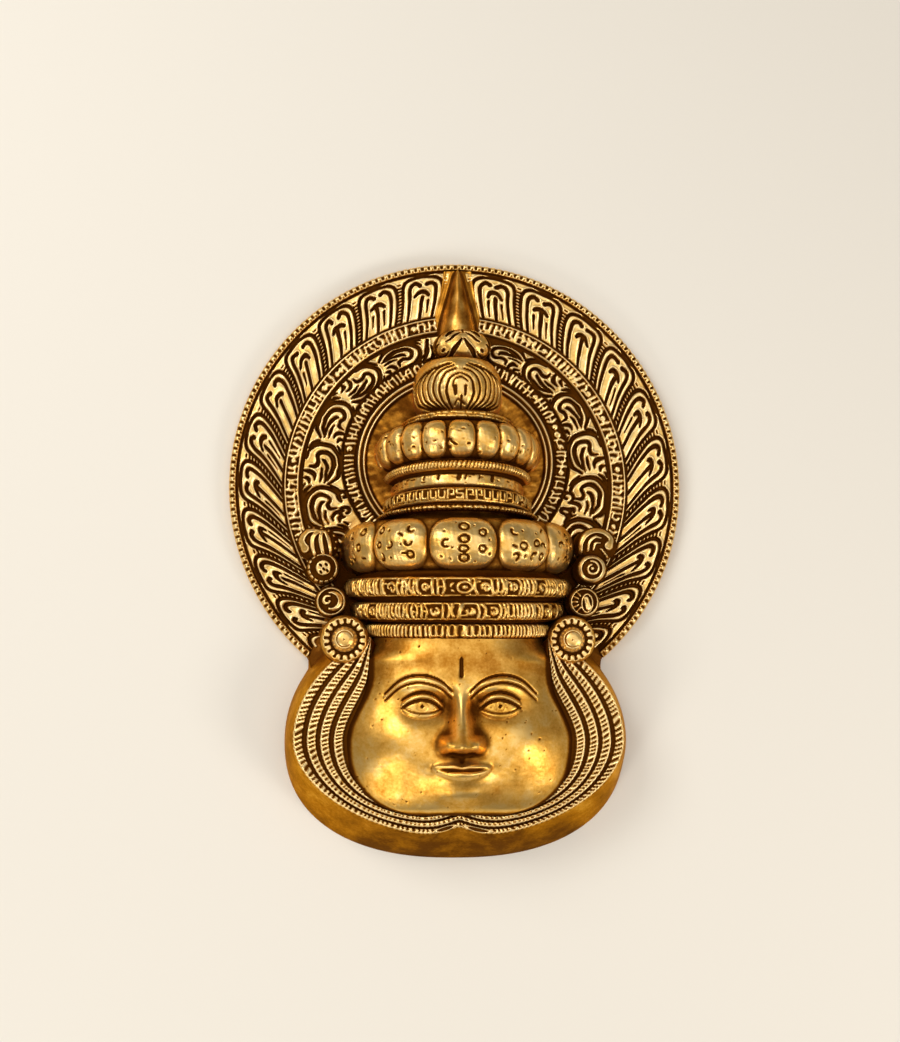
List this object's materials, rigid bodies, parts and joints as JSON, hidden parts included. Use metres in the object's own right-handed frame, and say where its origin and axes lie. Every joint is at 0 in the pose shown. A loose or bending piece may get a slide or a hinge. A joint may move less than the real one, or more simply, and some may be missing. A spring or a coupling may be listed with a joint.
{
  "type": "kathakali wall mask",
  "caption": "Hollow cast brass wall mask: a calm crowned face framed by hair ropes, ear discs and a round feathered halo.",
  "frame": {"origin": "centre of the bounding box in plan, on the flat back plane that the mask lies on", "axes": "+Z out of the face, +Y towards the top of the crown, +X towards the viewer's right"},
  "size_m": [0.19, 0.25, 0.0538],
  "materials": {
    "antique_brass": "polished high spots, dark brown patina in the carving"
  },
  "bodies": {
    "root": {"mask": "antique_brass"}
  },
  "joints": []
}
